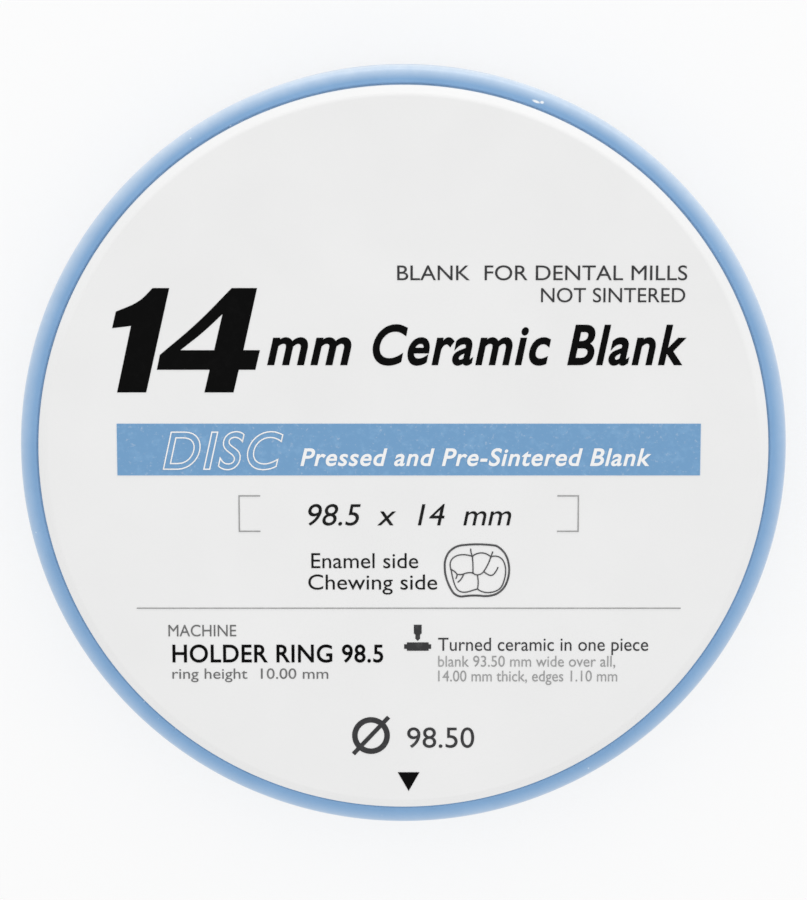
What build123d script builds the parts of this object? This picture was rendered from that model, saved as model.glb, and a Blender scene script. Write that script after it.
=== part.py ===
from build123d import *
import os

# A milling disc: a flat round ceramic blank bonded into a plastic holder ring, printed on its upper face.
# It lies on its lower face, Z is the disc's axis, and the print reads upright with +Y up. Millimetres.

# Holder ring, which the milling machine clamps by its flat faces
holder_diameter = 98.5
holder_height = 10.0
holder_wall = 2.35
holder_round = 1.4  # outer edges, top and bottom
bore_chamfer = 0.2

# Ceramic blank, which stands proud of the ring on both sides
blank_thickness = 14.0
blank_chamfer = 1.1

# Cured adhesive between blank and ring
bond_gap = 0.15
bond_recess = 0.3  # how far it stops short of the ring's faces

# Print on the upper face
ink_thickness = 0.05
print_shift = 0.68  # the whole print sits a little right of the blank's centre
band_height = 6.66
band_centre_y = 0.65
band_end_gap = 8.45  # from the band's ends to the rim of the flat face
rule_line_width = 0.14
rule_inset = 2.2  # from the band's ends
rule_y = -20.0
bracket_span = 43.4
bracket_height = 4.6
bracket_arm = 2.7
bracket_line_width = 0.16
bracket_y = -7.64
arrow_width = 2.8
arrow_height = 2.5
arrow_rim_gap = 1.4  # from the arrow's tip to the rim of the flat face

# Molar figure, as seen from its chewing side
tooth_width = 8.5
tooth_height = 7.0
tooth_x = 8.8  # from the print's middle
tooth_y = -15.07
tooth_outline_width = 0.25
fissure_width = 0.16
blot_radius = 0.13  # where the ink ran together

# Sizes that follow
holder_radius = holder_diameter / 2
bore_radius = holder_radius - holder_wall
blank_radius = bore_radius - bond_gap
face_radius = blank_radius - blank_chamfer
holder_base = (blank_thickness - holder_height) / 2
edge_round = min(holder_round, 0.8 * holder_wall, 0.45 * holder_height)
band_length = 2 * (face_radius - band_end_gap)
print_plane = Plane.XY.offset(blank_thickness)

os.makedirs("parts", exist_ok=True)


# Ceramic blank
with BuildPart() as ceramic_blank:
    with BuildSketch():
        Circle(blank_radius)
    extrude(amount=blank_thickness)
    chamfer(ceramic_blank.edges().filter_by(GeomType.CIRCLE), blank_chamfer)

ceramic_blank.part.label = "ceramic_blank"
export_step(ceramic_blank.part, "parts/ceramic_blank.step")


# Holder ring
with BuildPart() as holder_ring:
    with BuildSketch(Plane.XY.offset(holder_base)):
        Circle(holder_radius)
        Circle(bore_radius, mode=Mode.SUBTRACT)
    extrude(amount=holder_height)
    rims = holder_ring.edges().filter_by(GeomType.CIRCLE).group_by(SortBy.RADIUS)
    fillet(rims[-1], edge_round)
    chamfer(rims[0], bore_chamfer)

holder_ring.part.label = "holder_ring"
export_step(holder_ring.part, "parts/holder_ring.step")


# Adhesive film in the gap, set back from both faces of the ring
with BuildPart() as bond_film:
    with BuildSketch(Plane.XY.offset(holder_base + bond_recess)):
        Circle(bore_radius)
        Circle(blank_radius, mode=Mode.SUBTRACT)
    extrude(amount=holder_height - 2 * bond_recess)

bond_film.part.label = "bond_film"
export_step(bond_film.part, "parts/bond_film.step")


# Printed band across the middle
with BuildPart() as print_band:
    with BuildSketch(print_plane):
        with Locations((print_shift, band_centre_y)):
            Rectangle(band_length, band_height)
    extrude(amount=ink_thickness)

print_band.part.label = "print_band"
export_step(print_band.part, "parts/print_band.step")


# Thin rule under the upper half of the print
with BuildPart() as print_rule:
    with BuildSketch(print_plane):
        with Locations((print_shift, rule_y)):
            Rectangle(band_length - 2 * rule_inset, rule_line_width)
    extrude(amount=ink_thickness)

print_rule.part.label = "print_rule"
export_step(print_rule.part, "parts/print_rule.step")


# Pair of square brackets
with BuildPart() as print_brackets:
    with BuildSketch(print_plane):
        with BuildLine():
            for side in (-1, 1):
                outer_x = print_shift + side * bracket_span / 2
                inner_x = outer_x - side * bracket_arm
                Polyline(
                    (inner_x, bracket_y + bracket_height / 2),
                    (outer_x, bracket_y + bracket_height / 2),
                    (outer_x, bracket_y - bracket_height / 2),
                    (inner_x, bracket_y - bracket_height / 2),
                )
        trace(line_width=bracket_line_width)
    extrude(amount=ink_thickness)

print_brackets.part.label = "print_brackets"
export_step(print_brackets.part, "parts/print_brackets.step")


# Arrow that points at the rim
with BuildPart() as print_arrow:
    with BuildSketch(print_plane):
        with BuildLine():
            tip_y = -(face_radius - arrow_rim_gap)
            Polyline(
                (print_shift, tip_y),
                (print_shift + arrow_width / 2, tip_y + arrow_height),
                (print_shift - arrow_width / 2, tip_y + arrow_height),
                close=True,
            )
        make_face()
    extrude(amount=ink_thickness)

print_arrow.part.label = "print_arrow"
export_step(print_arrow.part, "parts/print_arrow.step")


# Molar figure: a crown outline, the rims of its cusps inside it and the fissures between them
def tooth_point(across, up):
    """A place on the crown, where 1 is its half width or half height."""
    return (print_shift + tooth_x + across * tooth_width / 2, tooth_y + up * tooth_height / 2)


crown = (
    (-0.98, 0.11),
    (-0.95, 0.46),
    (-0.86, 0.68),
    (-0.67, 0.87),
    (-0.43, 0.95),
    (0.07, 0.98),
    (0.56, 0.93),
    (0.79, 0.71),
    (0.93, 0.36),
    (0.965, -0.03),
    (0.9, -0.42),
    (0.76, -0.71),
    (0.57, -0.88),
    (0.34, -0.95),
    (0.1, -0.94),
    (-0.18, -0.935),
    (-0.45, -0.97),
    (-0.61, -0.93),
    (-0.74, -0.8),
    (-0.86, -0.53),
    (-0.95, -0.2),
    (-0.975, -0.04),
)
left_notch = (-0.79, 0.04)
upper_left_notch = (-0.15, 0.53)
upper_right_notch = (0.41, 0.51)
lower_notch = (0.01, -0.69)
left_pit = (-0.61, -0.14)
upper_pit = (-0.41, -0.13)
middle_pit = (-0.13, -0.09)
right_pit = (0.2, -0.03)
left_rim = (-0.73, -0.32)
right_rim = (0.76, -0.55)
cusp_rims = (
    (left_notch, (-0.82, 0.21), (-0.79, 0.38), (-0.66, 0.53), (-0.49, 0.59), upper_left_notch),
    (upper_left_notch, (0.13, 0.66), upper_right_notch),
    (upper_right_notch, (0.56, 0.54), (0.72, 0.46), (0.82, 0.27), (0.86, 0.0), right_rim),
    (right_rim, (0.61, -0.74), (0.44, -0.81), (0.27, -0.82), lower_notch),
    (lower_notch, (-0.27, -0.79), (-0.42, -0.81), (-0.56, -0.75), (-0.65, -0.61), left_rim),
    (left_rim, (-0.765, -0.14), left_notch),
)
fissures = (
    (left_notch, (-0.69, -0.03), left_pit),
    (left_pit, (-0.51, -0.15), upper_pit),
    (upper_pit, (-0.27, -0.08), middle_pit),
    (middle_pit, (0.01, -0.16), (0.12, -0.12), right_pit),
    (right_pit, (0.31, -0.14), (0.43, -0.18), (0.55, -0.06), (0.63, 0.13)),
    (upper_left_notch, (-0.13, 0.23), middle_pit),
    (upper_right_notch, (0.34, 0.28), right_pit),
    ((0.0, -0.15), (0.03, -0.42), lower_notch),
    (upper_left_notch, (-0.19, 0.68), (-0.2, 0.82)),
    (upper_right_notch, (0.44, 0.62), (0.47, 0.71)),
    (left_pit, (-0.62, -0.23), (-0.65, -0.31)),
    (upper_pit, (-0.47, -0.29), (-0.59, -0.44)),
)
blots = (left_notch, upper_left_notch, upper_right_notch, middle_pit)

with BuildPart() as print_tooth:
    with BuildSketch(print_plane):
        with BuildLine():
            for start, bulge, end in zip(crown[::2], crown[1::2], crown[2::2] + crown[:1]):
                ThreePointArc(tooth_point(*start), tooth_point(*bulge), tooth_point(*end))
        trace(line_width=tooth_outline_width)
    with BuildSketch(print_plane):
        with BuildLine():
            for stroke in cusp_rims + fissures:
                curve = ThreePointArc if len(stroke) == 3 else Spline
                curve(*[tooth_point(*place) for place in stroke])
        trace(line_width=fissure_width)
        with Locations(*[tooth_point(*place) for place in blots]):
            Circle(blot_radius)
    extrude(amount=ink_thickness)

print_tooth.part.label = "print_tooth"
export_step(print_tooth.part, "parts/print_tooth.step")
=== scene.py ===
import math

import bmesh
import bpy
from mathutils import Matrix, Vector


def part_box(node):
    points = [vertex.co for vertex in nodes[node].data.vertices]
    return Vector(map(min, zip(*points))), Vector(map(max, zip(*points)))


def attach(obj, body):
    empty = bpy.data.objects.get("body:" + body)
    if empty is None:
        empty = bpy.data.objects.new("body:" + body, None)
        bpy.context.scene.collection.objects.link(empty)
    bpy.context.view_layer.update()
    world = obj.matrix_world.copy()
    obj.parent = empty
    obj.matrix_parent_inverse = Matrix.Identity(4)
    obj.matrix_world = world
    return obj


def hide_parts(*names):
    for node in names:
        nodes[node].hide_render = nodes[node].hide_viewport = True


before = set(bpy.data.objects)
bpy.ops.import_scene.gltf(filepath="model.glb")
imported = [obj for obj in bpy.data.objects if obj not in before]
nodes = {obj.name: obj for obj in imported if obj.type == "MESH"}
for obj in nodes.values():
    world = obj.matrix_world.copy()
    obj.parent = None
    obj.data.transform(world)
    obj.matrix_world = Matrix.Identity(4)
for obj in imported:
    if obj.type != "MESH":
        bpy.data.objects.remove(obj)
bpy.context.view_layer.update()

# A dental milling disc: chalky ceramic blank, blue holder ring, print on the upper face. Metres.

mm = 0.001
touch = 0.01 * mm     # a point nearer than this lies on a level
weld = 0.001 * mm     # points nearer than this are one


# Small helpers for working as by hand

def clearSelection():
    bpy.ops.object.select_all(action="DESELECT")


def selectPiece(piece):
    clearSelection()
    piece.select_set(True)
    bpy.context.view_layer.objects.active = piece


def startEditing(piece, mode):
    selectPiece(piece)
    bpy.ops.object.mode_set(mode="EDIT")
    bpy.ops.mesh.select_mode(type=mode)
    bpy.ops.mesh.select_all(action="DESELECT")
    return bmesh.from_edit_mesh(piece.data)


def stopEditing():
    bpy.ops.object.mode_set(mode="OBJECT")


def pickPoints(piece, test):
    mesh = bmesh.from_edit_mesh(piece.data)
    for point in mesh.verts:
        point.select = test(point.co)
    mesh.select_flush(True)
    bmesh.update_edit_mesh(piece.data)


def pickEdgesAt(piece, height):
    mesh = bmesh.from_edit_mesh(piece.data)
    for edge in mesh.edges:
        edge.select = all(abs(point.co.z - height) < touch for point in edge.verts)
    mesh.select_flush(False)
    bmesh.update_edit_mesh(piece.data)


def placeInMesh():
    bpy.ops.object.transform_apply(location=True, rotation=True, scale=True)


def closeSkin(piece, gap):
    startEditing(piece, "VERT")
    bpy.ops.mesh.select_all(action="SELECT")
    bpy.ops.mesh.remove_doubles(threshold=gap)
    bpy.ops.mesh.normals_make_consistent(inside=False)
    stopEditing()


def smoothSkin(piece, degrees):
    selectPiece(piece)
    bpy.ops.object.shade_smooth_by_angle(angle=math.radians(degrees))
    bpy.ops.object.modifier_add(type="WEIGHTED_NORMAL")
    evenNormals = piece.modifiers[-1]
    evenNormals.keep_sharp = True
    bpy.ops.object.modifier_apply(modifier=evenNormals.name)


def finishPiece(piece, name, material, slotName):
    piece.name = name
    piece.data.name = name
    piece.data.materials.clear()
    piece.data.materials.append(material)
    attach(piece, "root")
    return piece


# Helpers for materials. Patterns are sized in repeats per metre, and a relief is a bump's strength and depth.

whole = (0.0, 1.0)
noiseMiddle = (0.3, 0.7)    # where most of a noise's values lie


def newMaterial(name):
    material = bpy.data.materials.new(name)
    material.use_nodes = True
    tree = material.node_tree
    shader = tree.nodes["Principled BSDF"]
    coords = tree.nodes.new("ShaderNodeTexCoord").outputs["Object"]
    return material, tree, shader, coords


def addNoise(tree, coords, scale, detail=2.0, roughness=0.5):
    noise = tree.nodes.new("ShaderNodeTexNoise")
    noise.inputs["Scale"].default_value = scale
    noise.inputs["Detail"].default_value = detail
    noise.inputs["Roughness"].default_value = roughness
    tree.links.new(coords, noise.inputs["Vector"])
    return noise.outputs["Fac"]


def addRange(tree, value, source, target, smooth=False):
    remap = tree.nodes.new("ShaderNodeMapRange")
    if smooth:
        remap.interpolation_type = "SMOOTHSTEP"
    for name, limit in zip(("From Min", "From Max", "To Min", "To Max"), (*source, *target)):
        remap.inputs[name].default_value = limit
    tree.links.new(value, remap.inputs["Value"])
    return remap.outputs["Result"]


def addMath(tree, operation, *values):
    node = tree.nodes.new("ShaderNodeMath")
    node.operation = operation
    for socket, value in zip(node.inputs, values):
        if isinstance(value, (int, float)):
            socket.default_value = value
        else:
            tree.links.new(value, socket)
    return node.outputs[0]


def addLength(tree, vector):
    span = tree.nodes.new("ShaderNodeVectorMath")
    span.operation = "LENGTH"
    tree.links.new(vector, span.inputs[0])
    return span.outputs["Value"]


def addMix(tree, factor, first, second):
    mix = tree.nodes.new("ShaderNodeMix")
    mix.data_type = "RGBA"
    tree.links.new(factor, mix.inputs["Factor"])
    for socket, colour in ((mix.inputs["A"], first), (mix.inputs["B"], second)):
        if isinstance(colour, tuple):
            socket.default_value = (*colour, 1.0)
        else:
            tree.links.new(colour, socket)
    return mix.outputs["Result"]


def addShaderMix(tree, factor, first, second):
    blend = tree.nodes.new("ShaderNodeMixShader")
    for socket, source in zip(blend.inputs, (factor, first, second)):
        tree.links.new(source, socket)
    return blend.outputs[0]


def addBump(tree, height, relief, below=None):
    bump = tree.nodes.new("ShaderNodeBump")
    for name, value in zip(("Strength", "Distance"), relief):
        bump.inputs[name].default_value = value
    tree.links.new(height, bump.inputs["Height"])
    if below is not None:
        tree.links.new(below, bump.inputs["Normal"])
    return bump.outputs["Normal"]


# Unsintered ceramic

ceramicLook = {
    "pale": (0.878, 0.878, 0.877),
    "deep": (0.854, 0.854, 0.853),
    "cloud": 70.0,                    # broad unevenness of the pressed powder
    "powder": 3200.0,                 # single grains and pores
    "poreSpread": (0.62, 0.78),       # which part of the powder shows as pores
    "poreShare": 0.35,
    "powderRelief": (0.35, 0.01 * mm),
    "turning": 900.0,                 # rings left by the lathe tool
    "turningWaver": 0.6,
    "turningRelief": (0.25, 0.002 * mm),
    "roughness": (0.78, 0.92),
    "gloss": 0.25,
}


def makeCeramic():
    look = ceramicLook
    material, tree, shader, coords = newMaterial("chalkyCeramic")
    cloud = addRange(tree, addNoise(tree, coords, look["cloud"], detail=3.0), noiseMiddle, whole)
    powder = addNoise(tree, coords, look["powder"], detail=3.0, roughness=0.7)
    body = addMix(tree, cloud, look["deep"], look["pale"])
    pores = addRange(tree, powder, look["poreSpread"], (0.0, look["poreShare"]))
    tree.links.new(addMix(tree, pores, body, look["deep"]), shader.inputs["Base Color"])
    tree.links.new(addRange(tree, powder, noiseMiddle, look["roughness"]), shader.inputs["Roughness"])
    wave = tree.nodes.new("ShaderNodeTexWave")
    wave.wave_type = "RINGS"
    wave.rings_direction = "Z"
    wave.inputs["Scale"].default_value = look["turning"]
    wave.inputs["Distortion"].default_value = look["turningWaver"]
    tree.links.new(coords, wave.inputs["Vector"])
    turned = addBump(tree, wave.outputs["Fac"], look["turningRelief"])
    tree.links.new(addBump(tree, powder, look["powderRelief"], turned), shader.inputs["Normal"])
    shader.inputs["Specular IOR Level"].default_value = look["gloss"]
    return material


# Moulded plastic of the holder ring

ring = {
    "steps": 360,
    "wall": 2.35 * mm,
    "round": 1.4 * mm,
    "roundSegments": 12,
    "boreChamfer": 0.2 * mm,
    "smoothAngle": 30,
}

plasticLook = {
    "base": (0.175, 0.365, 0.630),
    "light": (0.205, 0.400, 0.670),
    "flow": 160.0,                 # streaks of the moulding
    "flowSpread": (0.32, 0.68),
    "peel": 900.0,                 # faint orange peel
    "peelRelief": (0.12, 0.02 * mm),
    "roughness": (0.32, 0.42),
    "gloss": 0.75,
    "speck": (0.62, 0.74, 0.87),
    "speckScale": 420.0,           # cells, of which each holds one speck
    "speckSize": (0.035, 0.06),    # where a speck starts to fade and where it ends, in cells
    "speckShare": 0.7,
    # Painted highlight: a pale blue-white laid along the ring's rounded edges, strongest at the top of the
    # print
    "edgeHighlight": (0.74, 0.82, 0.90),
    "edgeHighlightShare": 0.35,             # painted highlight: how far the ring's colour goes towards pale blue-white along the rounded edges
    "highlightStart": 0.35 * mm,        # how far inside the rounded edge it begins
    "highlightFull": 0.1 * mm,          # how far inside the rim it is thickest
    "highlightFade": 2.2 * mm,          # how far down the wall it reaches
    "highlightRise": 0.4 * mm,          # how far past the wall's end it still thickens
    "highlightUpper": 2.35,             # how much stronger the painted highlight is on the side at the top of the print, as if lit from there
    "highlightPatches": 700.0,
    "patchSpread": (0.35, 0.65),
    "patchLeast": 0.84,
    "bloom": 0.5,                  # sheen at grazing angles
    "bloomRoughness": 0.5,
    # Small pale oval marks painted on the ring's upper face
    "paleSpot": (0.93, 0.95, 0.97),
    "paleSpots": [                    # centre, half length, half width, turn in degrees
        ((16.7 * mm, 44.65 * mm), 0.62 * mm, 0.2 * mm, -21.0),
        ((17.45 * mm, 44.55 * mm), 0.3 * mm, 0.22 * mm, -10.0),
    ],
    "spotSink": 0.1 * mm,         # how far its middle lies below the ring's upper face
    "spotDepth": 1.5 * mm,
    "spotCore": 0.5,              # the part of it at full strength
}


# Painted highlight by place: paler along the rounded edges, strongest at the top of the print, fading down
# the wall
def addPaintedEdgeHighlight(tree, coords):
    look = plasticLook
    low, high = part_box("holder_ring")
    place = tree.nodes.new("ShaderNodeSeparateXYZ")
    tree.links.new(coords, place.inputs[0])
    flat = tree.nodes.new("ShaderNodeCombineXYZ")
    for axis in ("X", "Y"):
        tree.links.new(place.outputs[axis], flat.inputs[axis])
    start = high.x - ring["round"] - look["highlightStart"]
    outwards = addRange(tree, addLength(tree, flat.outputs[0]), (start, high.x - look["highlightFull"]), whole)
    middle = (low.z + high.z) / 2
    fromMiddle = addMath(tree, "ABSOLUTE", addMath(tree, "SUBTRACT", place.outputs["Z"], middle))
    wallEnd = (high.z - low.z) / 2 - ring["round"]
    fade = (wallEnd - look["highlightFade"], wallEnd + look["highlightRise"])
    nearEdge = addRange(tree, fromMiddle, fade, whole, smooth=True)
    # the painted highlight grows towards the top of the print, the side the key lamp lights
    towardsTop = addRange(tree, place.outputs["Y"], (0.0, high.y), (1.0, look["highlightUpper"]))
    return addMath(tree, "MULTIPLY", addMath(tree, "MULTIPLY", outwards, nearEdge), towardsTop)


# One small oval mark on the ring's upper face, 1 at its middle and 0 outside
def addPaleSpot(tree, coords, centre, halfLength, halfWidth, turn):
    look = plasticLook
    _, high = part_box("holder_ring")
    place = tree.nodes.new("ShaderNodeMapping")
    place.vector_type = "TEXTURE"
    place.inputs["Location"].default_value = (*centre, high.z - look["spotSink"])
    place.inputs["Rotation"].default_value = (0, 0, math.radians(turn))
    place.inputs["Scale"].default_value = (halfLength, halfWidth, look["spotDepth"])
    tree.links.new(coords, place.inputs["Vector"])
    return addRange(tree, addLength(tree, place.outputs[0]), (look["spotCore"], 1.0), (1.0, 0.0))


def makePlastic():
    look = plasticLook
    material, tree, shader, coords = newMaterial("bluePlastic")
    streaks = addNoise(tree, coords, look["flow"], detail=4.0, roughness=0.6)
    body = addMix(tree, addRange(tree, streaks, look["flowSpread"], whole), look["base"], look["light"])
    patches = addNoise(tree, coords, look["highlightPatches"], detail=4.0, roughness=0.6)
    patchy = addRange(tree, patches, look["patchSpread"], (look["patchLeast"], 1.0))
    edgeHighlightMask = addMath(tree, "MULTIPLY", addPaintedEdgeHighlight(tree, coords), patchy)
    # painted highlight: the ring's colour mixed towards pale blue-white along its rounded edges
    highlighted = addMix(tree, addMath(tree, "MULTIPLY", edgeHighlightMask, look["edgeHighlightShare"]), body, look["edgeHighlight"])
    cells = tree.nodes.new("ShaderNodeTexVoronoi")
    cells.inputs["Scale"].default_value = look["speckScale"]
    tree.links.new(coords, cells.inputs["Vector"])
    specks = addRange(tree, cells.outputs["Distance"], look["speckSize"], (look["speckShare"], 0.0))
    marked = addMix(tree, specks, highlighted, look["speck"])
    # small pale oval marks painted on the ring's upper face
    for paleSpot in look["paleSpots"]:
        marked = addMix(tree, addPaleSpot(tree, coords, *paleSpot), marked, look["paleSpot"])
    tree.links.new(marked, shader.inputs["Base Color"])
    peel = addNoise(tree, coords, look["peel"])
    tree.links.new(addRange(tree, peel, noiseMiddle, look["roughness"]), shader.inputs["Roughness"])
    tree.links.new(addBump(tree, peel, look["peelRelief"]), shader.inputs["Normal"])
    shader.inputs["Specular IOR Level"].default_value = look["gloss"]
    shader.inputs["Sheen Weight"].default_value = look["bloom"]
    shader.inputs["Sheen Roughness"].default_value = look["bloomRoughness"]
    return material


# Inks and cured resin

inkLook = {
    "patches": 900.0,          # where the ink took thinly
    "patchSpread": (0.5, 0.75),
    "holes": 2600.0,           # pinholes, through which the ceramic shows
    "holeSpread": (0.6, 0.72),
    "grain": 4200.0,
    "grainRelief": (0.2, 0.004 * mm),
    "roughnessSpread": 0.08,
    "gloss": 0.06,
}

resinLook = {
    "deep": (0.30, 0.47, 0.68),
    "pale": (0.36, 0.54, 0.76),
    "streaks": 700.0,
    "streakRelief": (0.3, 0.05 * mm),
    "roughness": (0.4, 0.6),
}


def makeInk(name, colour, wornColour, worn=1.0, roughness=0.55, pinholes=0.0):
    look = inkLook
    material, tree, shader, coords = newMaterial(name)
    patches = addNoise(tree, coords, look["patches"], detail=5.0, roughness=0.65)
    film = addMix(tree, addRange(tree, patches, look["patchSpread"], (0.0, worn)), colour, wornColour)
    if pinholes:
        dots = addNoise(tree, coords, look["holes"], detail=3.0, roughness=0.6)
        holes = addRange(tree, dots, look["holeSpread"], (0.0, pinholes))
        film = addMix(tree, holes, film, ceramicLook["pale"])
    tree.links.new(film, shader.inputs["Base Color"])
    grain = addNoise(tree, coords, look["grain"])
    spread = look["roughnessSpread"]
    satin = addRange(tree, grain, noiseMiddle, (roughness - spread, roughness + spread))
    tree.links.new(satin, shader.inputs["Roughness"])
    tree.links.new(addBump(tree, grain, look["grainRelief"]), shader.inputs["Normal"])
    shader.inputs["Specular IOR Level"].default_value = look["gloss"]
    return material


def makeResin():
    look = resinLook
    material, tree, shader, coords = newMaterial("bondResin")
    streaks = addNoise(tree, coords, look["streaks"], detail=3.0)
    tree.links.new(addMix(tree, streaks, look["deep"], look["pale"]), shader.inputs["Base Color"])
    tree.links.new(addRange(tree, streaks, noiseMiddle, look["roughness"]), shader.inputs["Roughness"])
    tree.links.new(addBump(tree, streaks, look["streakRelief"]), shader.inputs["Normal"])
    return material


ceramic = makeCeramic()
plastic = makePlastic()
resin = makeResin()
blackInk = makeInk("blackInk", (0.0008, 0.0008, 0.0008), (0.0025, 0.0025, 0.0025))
softBlackInk = makeInk("softBlackInk", (0.010, 0.010, 0.010), (0.025, 0.025, 0.025))
darkGreyInk = makeInk("darkGreyInk", (0.045, 0.045, 0.047), (0.08, 0.08, 0.082))
toothInk = makeInk("toothInk", (0.085, 0.085, 0.088), (0.14, 0.14, 0.143))
greyInk = makeInk("greyInk", (0.16, 0.16, 0.16), (0.24, 0.24, 0.24), roughness=0.6)
paleGreyInk = makeInk("paleGreyInk", (0.34, 0.34, 0.34), (0.44, 0.44, 0.44), roughness=0.6)
blueInk = makeInk("blueInk", (0.182, 0.360, 0.592), (0.232, 0.425, 0.662), pinholes=0.2)
whiteInk = makeInk("whiteInk", (0.92, 0.92, 0.92), (0.87, 0.88, 0.89), worn=0.6, roughness=0.6)
print("materials made")


# Ceramic blank

blank = {
    "segments": 360,
    "chamfer": 1.1 * mm,
    "edgeBreak": 0.30 * mm,    # soft powder rounds the chamfer's own edges
    "edgeSegments": 4,
    "smoothAngle": 20,
}


def buildBlank():
    low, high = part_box("ceramic_blank")
    middle = (0, 0, (low.z + high.z) / 2)
    clearSelection()
    bpy.ops.mesh.primitive_cylinder_add(
        vertices=blank["segments"], radius=high.x, depth=high.z - low.z, location=middle
    )
    piece = bpy.context.object
    placeInMesh()
    startEditing(piece, "EDGE")
    for height in (high.z, low.z):
        pickEdgesAt(piece, height)
        bpy.ops.mesh.bevel(offset=blank["chamfer"], segments=1, affect="EDGES")
    for height in (low.z, low.z + blank["chamfer"], high.z - blank["chamfer"], high.z):
        pickEdgesAt(piece, height)
        bpy.ops.mesh.bevel(offset=blank["edgeBreak"], segments=blank["edgeSegments"], affect="EDGES")
    stopEditing()
    closeSkin(piece, weld)
    smoothSkin(piece, blank["smoothAngle"])
    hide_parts("ceramic_blank")
    return finishPiece(piece, "blankBody", ceramic, "blank_ceramic")


# Holder ring: its section is rounded, then spun round the disc's axis

def buildRing():
    low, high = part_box("holder_ring")
    middle = high.x - ring["wall"] / 2
    clearSelection()
    bpy.ops.mesh.primitive_plane_add(
        size=1.0, location=(middle, 0, (low.z + high.z) / 2), rotation=(math.radians(90), 0, 0)
    )
    piece = bpy.context.object
    piece.scale = (ring["wall"], high.z - low.z, 1.0)
    placeInMesh()
    startEditing(piece, "VERT")
    pickPoints(piece, lambda co: co.x > middle)
    bpy.ops.mesh.bevel(
        offset=ring["round"], segments=ring["roundSegments"], profile=0.5, affect="VERTICES"
    )
    pickPoints(piece, lambda co: co.x < high.x - ring["wall"] + touch)
    bpy.ops.mesh.bevel(offset=ring["boreChamfer"], segments=1, affect="VERTICES")
    bpy.ops.mesh.select_all(action="SELECT")
    bpy.ops.mesh.delete(type="ONLY_FACE")
    bpy.ops.mesh.select_all(action="SELECT")
    bpy.ops.mesh.spin(
        steps=ring["steps"], angle=math.tau, center=(0, 0, 0), axis=(0, 0, 1), use_auto_merge=True
    )
    stopEditing()
    closeSkin(piece, weld)
    smoothSkin(piece, ring["smoothAngle"])
    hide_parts("holder_ring")
    return finishPiece(piece, "holderRing", plastic, "holder_plastic")


buildBlank()
buildRing()
print("blank and ring made")


# Nodes that keep their shape and get a finish

nodeFinishes = {
    "bond_film": resin,
    "print_band": blueInk,
    "print_rule": paleGreyInk,
    "print_brackets": paleGreyInk,
    "print_arrow": blackInk,
    "print_tooth": toothInk,
}
for nodeName, finish in nodeFinishes.items():
    for holder in nodes[nodeName].material_slots:
        holder.material = finish
print("film, band, lines and figures finished")


# Lettering: each line fills a box in mm, by its left and right ends, its baseline and its capitals' height

lettering = {
    "thickness": 0.04 * mm,
    "fontCapital": 0.682,      # height of a capital in the built-in face at size 1
    "rawHalf": 0.5,            # half a letter's thickness before it is scaled down
    "curveSteps": 8,
    "lean": 0.24,
    "glyphWeld": 0.0001,       # in sizes of the face
    "weld": 0.0002 * mm,
    "straight": 0.5,           # bends of fewer degrees are taken out
    "upward": 0.5,             # normals that rise more belong to a letter's top
}
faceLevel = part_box("ceramic_blank")[1].z
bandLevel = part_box("print_band")[1].z


def addWords(words, lean, weight, spacing):
    clearSelection()
    bpy.ops.object.text_add()
    piece = bpy.context.object
    piece.data.body = words
    piece.data.shear = lean
    piece.data.bevel_depth = weight    # broadens each stroke
    piece.data.bevel_resolution = 0
    piece.data.space_character = spacing
    piece.data.resolution_u = lettering["curveSteps"]
    piece.data.extrude = lettering["rawHalf"]
    bpy.ops.object.convert(target="MESH")
    closeSkin(piece, lettering["glyphWeld"])
    return piece


def layOnFace(piece, left, right, baseline, capital, level):
    across = [point.co.x for point in piece.data.vertices]
    deep = [point.co.z for point in piece.data.vertices]
    widthScale = (right - left) * mm / (max(across) - min(across))
    heightScale = capital * mm / lettering["fontCapital"]
    depthScale = lettering["thickness"] / (max(deep) - min(deep))
    piece.scale = (widthScale, heightScale, depthScale)
    piece.location = (left * mm - min(across) * widthScale, baseline * mm, level - min(deep) * depthScale)
    selectPiece(piece)
    placeInMesh()


def dissolveStraights():
    bpy.ops.mesh.select_all(action="SELECT")
    bpy.ops.mesh.dissolve_limited(angle_limit=math.radians(lettering["straight"]))


def printLine(name, words, box, ink, lean=0.0, weight=0.0, spacing=1.0, level=faceLevel):
    piece = addWords(words, lean, weight, spacing)
    layOnFace(piece, *box, level)
    return finishPiece(piece, name, *ink)


# Only a thin line along each letter's edge: the top is inset, its middle taken out, the line given its depth
def printOutlined(name, words, box, ink, lean, weight, spacing, line, level):
    piece = addWords(words, lean, weight, spacing)
    layOnFace(piece, *box, level)
    mesh = startEditing(piece, "FACE")
    for face in mesh.faces:
        face.select = face.normal.z < lettering["upward"]
    bmesh.update_edit_mesh(piece.data)
    bpy.ops.mesh.delete(type="FACE")
    dissolveStraights()
    bpy.ops.mesh.select_all(action="SELECT")
    bpy.ops.mesh.inset(thickness=line, use_even_offset=True)
    bpy.ops.mesh.delete(type="FACE")
    bpy.ops.mesh.select_all(action="SELECT")
    down = (0, 0, -lettering["thickness"] / 2)
    bpy.ops.mesh.extrude_region_move(TRANSFORM_OT_translate={"value": down})
    stopEditing()
    closeSkin(piece, lettering["weld"])
    return finishPiece(piece, name, *ink)


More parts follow.
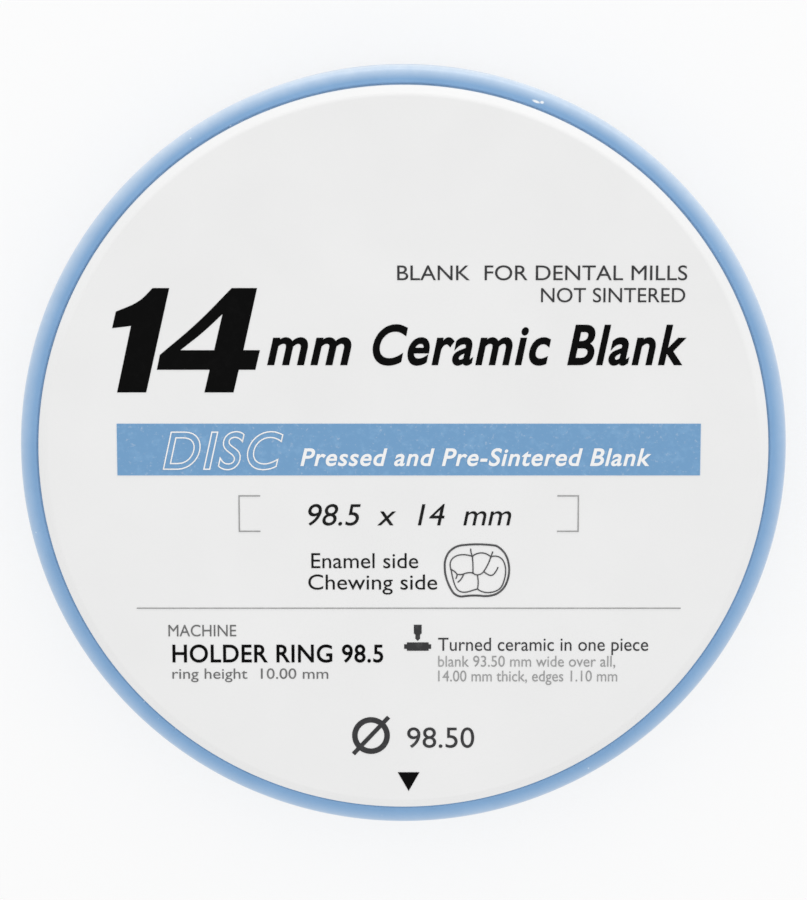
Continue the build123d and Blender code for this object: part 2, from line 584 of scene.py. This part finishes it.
# A flat shape from outlines in mm, where a point's third value marks a sharp corner
def printShape(name, outlines, ink):
    clearSelection()
    bpy.ops.curve.primitive_bezier_circle_add(radius=1.0)
    piece = bpy.context.object
    curve = piece.data
    curve.dimensions = "2D"
    curve.fill_mode = "BOTH"
    curve.extrude = lettering["rawHalf"]
    curve.resolution_u = lettering["curveSteps"]
    curve.splines.clear()
    for outline in outlines:
        spline = curve.splines.new("BEZIER")
        spline.bezier_points.add(len(outline) - 1)
        spline.use_cyclic_u = True
        for point, (x, y, *corner) in zip(spline.bezier_points, outline):
            point.co = (x, y, 0)
            point.handle_left_type = point.handle_right_type = "VECTOR" if corner else "AUTO"
    bpy.ops.object.convert(target="MESH")
    piece.scale = (mm, mm, lettering["thickness"])
    piece.location = (0, 0, faceLevel + lettering["thickness"] / 2)
    placeInMesh()
    closeSkin(piece, lettering["weld"])
    return finishPiece(piece, name, *ink)


black = (blackInk, "black_ink")
softBlack = (softBlackInk, "black_ink")
darkGrey = (darkGreyInk, "dark_grey_ink")
grey = (greyInk, "grey_ink")
paleGrey = (paleGreyInk, "grey_ink")
white = (whiteInk, "blank_ceramic")
headline = {"lean": lettering["lean"], "weight": 0.022, "spacing": 1.1}

# Top of the face
printLine("wordsTop", "BLANK  FOR DENTAL MILLS", (-0.78, 35.85, 22.3, 1.85), darkGrey)
printLine("wordsTopSecond", "NOT SINTERED", (17.41, 35.64, 19.5, 1.8), darkGrey)
printLine("wordsHeadlineFirst", "mm", (-17.3, -6.6, 11.64, 4.85), black, **headline)
printLine("wordsHeadlineSecond", "Ceramic Blank", (-3.9, 35.89, 11.64, 4.85), black, **headline)

# Large leaning numerals of the blank's thickness
numeralOne = [
    (-36.4, 8.0, 1), (-32.7, 8.0, 1), (-29.6, 21.3, 1), (-31.7, 21.3, 1), (-33.4, 19.7),
    (-36.4, 18.3, 1), (-36.9, 16.2, 1), (-34.5, 16.5, 1),
]
numeralFour = [
    (-25.3, 8.0, 1), (-21.6, 8.0, 1), (-20.9, 10.9, 1), (-18.8, 10.9, 1), (-18.2, 13.4, 1),
    (-20.3, 13.4, 1), (-18.5, 21.3, 1), (-21.7, 21.3, 1), (-26.1, 16.9), (-30.9, 12.8, 1),
    (-31.3, 10.9, 1), (-24.6, 10.9, 1),
]
numeralFourGap = [(-24.0, 13.4, 1), (-22.9, 18.0, 1), (-25.4, 15.7), (-28.3, 13.4, 1)]
printShape("numeralOne", [numeralOne], black)
printShape("numeralFour", [numeralFour, numeralFourGap], black)

# Band
printOutlined(
    "wordsBandOutlined", "DISC", (-30.75, -15.27, -1.81, 4.65), white,
    lean=lettering["lean"], weight=0.022, spacing=1.12, line=0.17 * mm, level=bandLevel,
)
printLine(
    "wordsBand", "Pressed and Pre-Sintered Blank", (-13.16, 31.62, -1.41, 2.17), white,
    lean=lettering["lean"], weight=0.018, spacing=1.08, level=bandLevel,
)

# Middle
printLine("wordsSize", "98.5  x  14  mm", (-12.18, 13.8, -9.17, 2.74), softBlack, lean=0.2)
printLine("wordsSideFirst", "Enamel side", (-11.82, 1.9, -14.75, 1.95), softBlack)
printLine("wordsSideSecond", "Chewing side", (-12.22, 4.34, -17.55, 1.95), softBlack)

# Below the rule
printLine("wordsLeftFirst", "MACHINE", (-30.28, -21.54, -23.7, 1.5), grey)
printLine(
    "wordsLeftSecond", "HOLDER RING 98.5", (-29.8, -2.61, -27.1, 2.25), black, weight=0.014, spacing=1.05
)
printLine("wordsLeftThird", "ring height  10.00 mm", (-29.84, -9.71, -29.3, 1.35), grey)
printLine("wordsRightFirst", "Turned ceramic in one piece", (4.48, 31.57, -25.6, 1.7), darkGrey)
printLine("wordsRightSecond", "blank 93.50 mm wide over all,", (4.49, 27.34, -27.7, 1.42), paleGrey)
printLine("wordsRightThird", "14.00 mm thick, edges 1.10 mm", (4.49, 27.62, -29.65, 1.42), paleGrey)
printLine("numeralsLower", "98.50", (0.49, 9.18, -38.46, 2.66), darkGrey)

# Sign for a diameter: a ring with a slash through it
sign = {
    "centre": (-4.2 * mm, -36.85 * mm),
    "radius": 2.45 * mm,
    "line": 0.72 * mm,
    "slashLength": 6.7 * mm,
    "slashWidth": 0.55 * mm,
    "slashAngle": 47.0,
    "sides": 64,
}


def joinShape(piece, other, operation):
    selectPiece(piece)
    bpy.ops.object.modifier_add(type="BOOLEAN")
    join = piece.modifiers[-1]
    join.operation = operation
    join.solver = "EXACT"
    join.object = other
    bpy.ops.object.modifier_apply(modifier=join.name)
    bpy.data.objects.remove(other)


def addSignDisc(radius, thickness, place):
    clearSelection()
    bpy.ops.mesh.primitive_cylinder_add(
        vertices=sign["sides"], radius=radius, depth=thickness, location=place
    )
    placeInMesh()
    return bpy.context.object


def printSign():
    thickness = lettering["thickness"]
    place = (*sign["centre"], faceLevel + thickness / 2)
    piece = addSignDisc(sign["radius"], thickness, place)
    hole = addSignDisc(sign["radius"] - sign["line"], 2 * thickness, place)    # tall, to cut right through
    joinShape(piece, hole, "DIFFERENCE")
    clearSelection()
    bpy.ops.mesh.primitive_cube_add(size=1.0, location=place)
    slash = bpy.context.object
    slash.rotation_euler.z = math.radians(sign["slashAngle"])
    slash.scale = (sign["slashLength"], sign["slashWidth"], thickness)
    placeInMesh()
    joinShape(piece, slash, "UNION")
    startEditing(piece, "VERT")
    dissolveStraights()
    stopEditing()
    closeSkin(piece, lettering["weld"])
    return finishPiece(piece, "signDiameter", *darkGrey)


printSign()

# Small picture of a tool over a disc
iconTool = [
    (1.35, -22.18, 1), (2.35, -22.18, 1), (2.35, -23.3, 1), (2.15, -23.5, 1), (2.15, -24.0, 1),
    (1.85, -24.3, 1), (1.55, -24.0, 1), (1.55, -23.5, 1), (1.35, -23.3, 1),
]
iconDisc = [
    (0.1, -24.75, 1), (0.45, -24.75, 1), (0.45, -24.5, 1), (3.25, -24.5, 1), (3.25, -24.75, 1),
    (3.58, -24.75, 1), (3.58, -25.35, 1), (3.25, -25.35, 1), (3.25, -25.6, 1), (0.45, -25.6, 1),
    (0.45, -25.35, 1), (0.1, -25.35, 1),
]
printShape("iconTool", [iconTool], darkGrey)
printShape("iconDisc", [iconDisc], darkGrey)
print("lettering made")


# Floor, light and camera

studio = {
    "floorSize": 3.0,
    "floorColour": 0.95,
    "floorRoughness": 0.9,
    "floorWhite": 0.7,         # how much of the floor's look is plain white paper
    "sky": 0.93,
    "keyAzimuth": 80.0,        # a long low lamp beyond the top of the print
    "keyElevation": 11.0,
    "keyDistance": 0.75,
    "keyLength": 1.0,
    "keyHeight": 0.12,
    "keyPower": 1.35,
}


def makeFloor():
    clearSelection()
    bpy.ops.mesh.primitive_plane_add(size=studio["floorSize"], location=(0, 0, 0))
    floor = bpy.context.object
    floor.name = "studioFloor"
    material, tree, shader, _ = newMaterial("paleFloor")
    shade = studio["floorColour"]
    shader.inputs["Base Color"].default_value = (shade, shade, shade, 1.0)
    shader.inputs["Roughness"].default_value = studio["floorRoughness"]
    shader.inputs["Specular IOR Level"].default_value = 0.0
    paper = tree.nodes.new("ShaderNodeEmission")
    paper.inputs["Strength"].default_value = 1.0
    rays = tree.nodes.new("ShaderNodeLightPath")
    share = addMath(tree, "MULTIPLY", rays.outputs["Is Camera Ray"], studio["floorWhite"])
    look = addShaderMix(tree, share, shader.outputs[0], paper.outputs[0])
    tree.links.new(look, tree.nodes["Material Output"].inputs["Surface"])
    floor.data.materials.append(material)


def addSky(tree, strength):
    sky = tree.nodes.new("ShaderNodeBackground")
    sky.inputs["Color"].default_value = (1, 1, 1, 1)
    sky.inputs["Strength"].default_value = strength
    return sky.outputs[0]


# Lights the disc evenly, and is plain white where it is seen or mirrored
def makeSky():
    world = bpy.data.worlds.new("studioSky")
    bpy.context.scene.world = world
    world.use_nodes = True
    tree = world.node_tree
    tree.nodes.clear()
    output = tree.nodes.new("ShaderNodeOutputWorld")
    rays = tree.nodes.new("ShaderNodeLightPath")
    seen = rays.outputs["Is Camera Ray"]
    for kind in ("Is Glossy Ray", "Is Transmission Ray"):
        seen = addMath(tree, "MAXIMUM", seen, rays.outputs[kind])
    look = addShaderMix(tree, seen, addSky(tree, studio["sky"]), addSky(tree, 1.0))
    tree.links.new(look, output.inputs["Surface"])


def makeKeyLight():
    around = math.radians(studio["keyAzimuth"])
    above = math.radians(studio["keyElevation"])
    direction = Vector((
        math.cos(around) * math.cos(above),
        math.sin(around) * math.cos(above),
        math.sin(above),
    ))
    clearSelection()
    bpy.ops.object.light_add(type="AREA", location=direction * studio["keyDistance"])
    lamp = bpy.context.object
    lamp.name = "keyLight"
    lamp.rotation_euler = direction.to_track_quat("Z", "Y").to_euler()
    lamp.data.shape = "RECTANGLE"
    lamp.data.size = studio["keyLength"]
    lamp.data.size_y = studio["keyHeight"]
    lamp.data.energy = studio["keyPower"]
    lamp.visible_camera = False


camera = {
    "distance": 350 * mm,
    "tilt": 8.6,                     # degrees off the disc's axis, towards the top of the print
    "focalPixels": 2689.0,
    "discCentre": (403.4, 446.4),    # where the middle of the disc falls in the picture
    "picture": (807, 900),
    "sensor": 36.0,
    "nearest": 10 * mm,
}


def makeCamera():
    tilt = math.radians(camera["tilt"])
    low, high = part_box("holder_ring")
    middle = Vector((0, 0, (low.z + high.z) / 2))
    sight = Vector((0, math.sin(tilt), math.cos(tilt)))
    bpy.ops.object.camera_add(location=middle + camera["distance"] * sight)
    seer = bpy.context.object
    seer.name = "photoCamera"
    seer.rotation_euler = (-tilt, 0, 0)
    width, height = camera["picture"]
    lens = seer.data
    lens.sensor_width = camera["sensor"]
    lens.lens = camera["focalPixels"] / height * camera["sensor"]
    lens.shift_x = (width / 2 - camera["discCentre"][0]) / height
    lens.shift_y = (camera["discCentre"][1] - height / 2) / height
    lens.clip_start = camera["nearest"]
    bpy.context.scene.camera = seer


makeFloor()
makeSky()
makeKeyLight()
makeCamera()
bpy.context.scene.view_settings.view_transform = "Standard"
print("studio ready")
